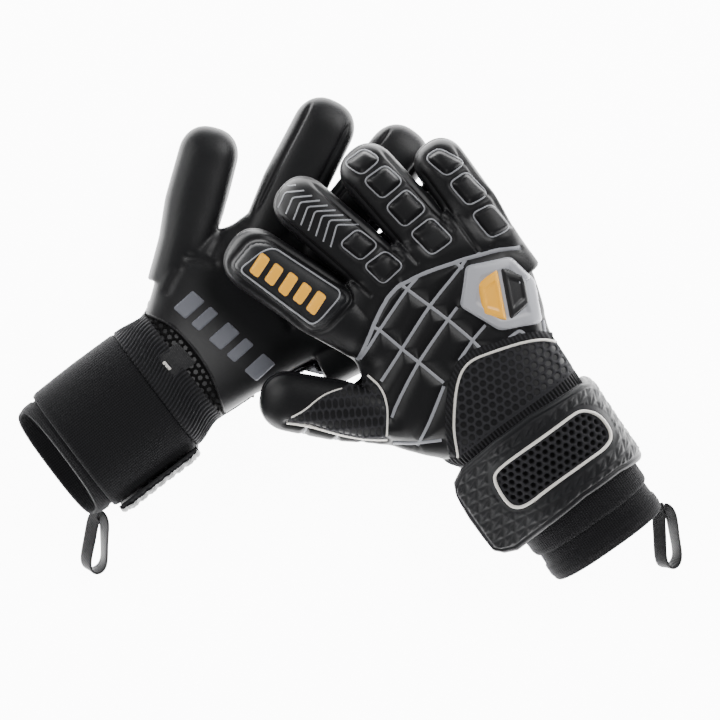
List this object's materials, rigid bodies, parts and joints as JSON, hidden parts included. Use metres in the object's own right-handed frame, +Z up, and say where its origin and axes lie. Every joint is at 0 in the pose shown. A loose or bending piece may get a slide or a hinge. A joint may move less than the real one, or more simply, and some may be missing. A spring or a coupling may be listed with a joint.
{
  "type": "pair of goalkeeper gloves",
  "caption": "Pair of padded goalkeeper gloves, one palm up and one back up across it, with hollow finger stalls, knit cuffs, wrist straps with opening tabs and pull loops.",
  "frame": {"origin": "centre of the pair's footprint, on the surface it lies on", "axes": "+Z up from the surface; +X to the right and +Y to the top of the pair as seen from straight above, with the left glove's cuff at the lower left"},
  "size_m": [0.3848, 0.279, 0.0665],
  "materials": {
    "latex_palm": "smooth black latex with a satin skin",
    "latex_foam": "moulded black foam, satin, with grey printed lines",
    "knit": "fine black elastic knit",
    "air_mesh": "open black spacer mesh",
    "piping": "off-white piping cord",
    "silicone": "pale grey silicone with gold and black relief",
    "patch": "black rubber patch with a grey rim and gold bars",
    "hook_loop": "black hook and loop fastener",
    "label": "woven black label with one pale bar",
    "strap_latex": "embossed black latex"
  },
  "bodies": {
    "left_hand": {"left_hand_back": "latex_foam", "left_hand_palm": "latex_palm", "left_wrist_mesh": "air_mesh", "left_wrist_piping": "piping", "left_wrist_elastic": "knit", "left_cuff_sleeve": "knit", "left_strap_band": "knit", "left_loop_pad": "hook_loop", "left_label_tab": "label", "left_badge": "silicone"},
    "left_index": {"left_index_back": "latex_foam", "left_index_palm": "latex_palm", "left_finger_patch": "patch"},
    "left_middle": {"left_middle_back": "latex_foam", "left_middle_palm": "latex_palm"},
    "left_ring": {"left_ring_back": "latex_foam", "left_ring_palm": "latex_palm"},
    "left_pinky": {"left_pinky_back": "latex_foam", "left_pinky_palm": "latex_palm"},
    "left_thumb": {"left_thumb_back": "latex_foam", "left_thumb_palm": "latex_palm", "left_thumb_mesh": "air_mesh"},
    "left_strap": {"left_strap_tab": "strap_latex", "left_tab_piping": "piping", "left_tab_mesh": "air_mesh", "left_hook_pad": "hook_loop"},
    "left_pull_loop": {"left_pull_loop": "strap_latex"},
    "right_hand": {"right_hand_back": "latex_foam", "right_hand_palm": "latex_palm", "right_wrist_mesh": "air_mesh", "right_wrist_piping": "piping", "right_wrist_elastic": "knit", "right_cuff_sleeve": "knit", "right_strap_band": "knit", "right_loop_pad": "hook_loop", "right_label_tab": "label", "right_badge": "silicone"},
    "right_index": {"right_index_back": "latex_foam", "right_index_palm": "latex_palm", "right_finger_patch": "patch"},
    "right_middle": {"right_middle_back": "latex_foam", "right_middle_palm": "latex_palm"},
    "right_ring": {"right_ring_back": "latex_foam", "right_ring_palm": "latex_palm"},
    "right_pinky": {"right_pinky_back": "latex_foam", "right_pinky_palm": "latex_palm"},
    "right_thumb": {"right_thumb_back": "latex_foam", "right_thumb_palm": "latex_palm", "right_thumb_mesh": "air_mesh"},
    "right_strap": {"right_strap_tab": "strap_latex", "right_tab_piping": "piping", "right_tab_mesh": "air_mesh", "right_hook_pad": "hook_loop"},
    "right_pull_loop": {"right_pull_loop": "strap_latex"}
  },
  "joints": [
    {"name": "right_glove_lift", "type": "slide", "parent": "left_hand", "child": "right_hand", "axis": [0, 0, 1], "range_m": [0, 0.12]},
    {"name": "left_index_curl", "type": "hinge", "parent": "left_hand", "child": "left_index", "pos_m": [-0.04704, 0.06287, 0.0282], "axis": [0.8906, -0.4548, 0], "range_deg": [0, 42]},
    {"name": "left_middle_curl", "type": "hinge", "parent": "left_hand", "child": "left_middle", "pos_m": [-0.01661, 0.05074, 0.0282], "axis": [0.7914, -0.6114, 0], "range_deg": [0, 42]},
    {"name": "left_ring_curl", "type": "hinge", "parent": "left_hand", "child": "left_ring", "pos_m": [0.00045, 0.02478, 0.0272], "axis": [0.6517, -0.7585, 0], "range_deg": [0, 42]},
    {"name": "left_pinky_curl", "type": "hinge", "parent": "left_hand", "child": "left_pinky", "pos_m": [0.00472, -0.00581, 0.0252], "axis": [0.4647, -0.8855, 0], "range_deg": [0, 42]},
    {"name": "left_thumb_curl", "type": "hinge", "parent": "left_hand", "child": "left_thumb", "pos_m": [-0.09742, 0.05495, 0.0302], "axis": [0.9683, -0.2499, 0], "range_deg": [0, 45], "stiffness_Nm_per_rad": 0.25},
    {"name": "left_strap_open", "type": "hinge", "parent": "left_hand", "child": "left_strap", "pos_m": [-0.1096, -0.07843, 0.03887], "axis": [-0.7986, -0.6018, 0], "range_deg": [0, 150]},
    {"name": "left_loop_swing", "type": "hinge", "parent": "left_hand", "child": "left_pull_loop", "pos_m": [-0.14636, -0.10276, 0.025], "axis": [-0.9915, 0.1301, 0], "range_deg": [0, 95]},
    {"name": "right_index_straighten", "type": "hinge", "parent": "right_hand", "child": "right_index", "pos_m": [0.00251, 0.00401, 0.06168], "axis": [0.5544, 0.8298, 0.0638], "range_deg": [0, 30], "stiffness_Nm_per_rad": 0.25},
    {"name": "right_middle_straighten", "type": "hinge", "parent": "right_hand", "child": "right_middle", "pos_m": [0.01999, 0.03309, 0.06412], "axis": [0.6529, 0.7562, 0.0432], "range_deg": [0, 30], "stiffness_Nm_per_rad": 0.25},
    {"name": "right_ring_straighten", "type": "hinge", "parent": "right_hand", "child": "right_ring", "pos_m": [0.04806, 0.05055, 0.06278], "axis": [0.7497, 0.6615, 0.0197], "range_deg": [0, 30], "stiffness_Nm_per_rad": 0.25},
    {"name": "right_pinky_straighten", "type": "hinge", "parent": "right_hand", "child": "right_pinky", "pos_m": [0.08226, 0.05487, 0.05893], "axis": [0.8148, 0.5797, 0.0013], "range_deg": [0, 30], "stiffness_Nm_per_rad": 0.25},
    {"name": "right_thumb_straighten", "type": "hinge", "parent": "right_hand", "child": "right_thumb", "pos_m": [0.01567, -0.04791, 0.05489], "axis": [0.1695, 0.9777, 0.1241], "range_deg": [0, 30], "stiffness_Nm_per_rad": 0.25},
    {"name": "right_strap_open", "type": "hinge", "parent": "right_hand", "child": "right_strap", "pos_m": [0.14458, -0.04329, 0.02084], "axis": [-0.5649, 0.8067, 0.1736], "range_deg": [0, 150]},
    {"name": "right_loop_swing", "type": "hinge", "parent": "right_hand", "child": "right_pull_loop", "pos_m": [0.18123, -0.09954, 0.02134], "axis": [-0.9847, -0.1566, 0.077], "range_deg": [0, 95]}
  ],
  "couplings": [
    {"joint": "left_index_curl", "follows": "right_glove_lift", "rad_per_m": 6},
    {"joint": "left_middle_curl", "follows": "right_glove_lift", "rad_per_m": 6},
    {"joint": "left_ring_curl", "follows": "right_glove_lift", "rad_per_m": 6},
    {"joint": "left_pinky_curl", "follows": "right_glove_lift", "rad_per_m": 6}
  ]
}
